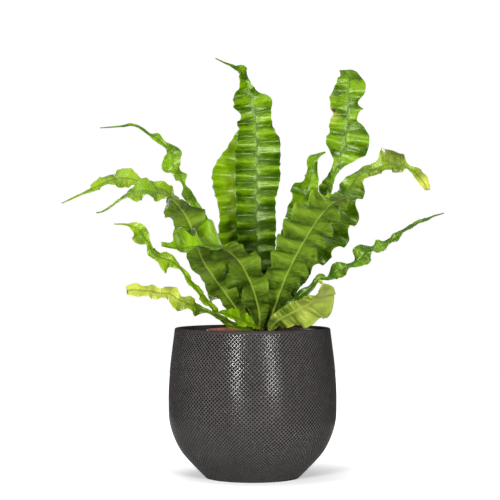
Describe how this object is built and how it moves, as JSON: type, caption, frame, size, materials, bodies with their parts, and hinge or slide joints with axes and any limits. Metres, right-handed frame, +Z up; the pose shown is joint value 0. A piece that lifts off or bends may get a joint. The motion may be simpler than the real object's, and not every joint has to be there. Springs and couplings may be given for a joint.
{
  "type": "potted crispy wave birds nest fern",
  "caption": "Bird's nest fern with wavy, strap-shaped green fronds in a nursery pot, set in a rounded black planter with a fine diamond relief.",
  "frame": {"origin": "centre of the planter's flat underside, which it stands on", "axes": "+Z up, +X to the right and +Y away from the front, the side that the picture shows"},
  "size_m": [0.406, 0.3031, 0.4521],
  "materials": {
    "planter": "satin black with a fine woven diamond relief and a plain band at the lip",
    "nursery_pot": "matte terracotta red",
    "soil": "dark, crumbly peat potting mix",
    "crown": "dark brown, scaly and fibrous",
    "frond": "glossy bright green above, duller olive green below, dark stalk"
  },
  "bodies": {
    "root": {"planter": "planter", "nursery_pot": "nursery_pot", "soil": "soil", "crown": "crown", "tall_back": "frond", "behind_left": "frond", "slim_top_left": "frond", "arch_left_back": "frond", "arch_left_front": "frond", "twisted_left": "frond", "low_wavy_left": "frond", "short_front_left": "frond", "arch_front_left": "frond", "broad_front_right": "frond", "long_right": "frond", "upright_right": "frond", "twisted_right": "frond", "low_wavy_right": "frond", "short_front_right": "frond", "rear_left": "frond", "rear_middle": "frond", "rear_right": "frond", "rear_low_left": "frond", "rear_low_right": "frond"}
  },
  "joints": []
}
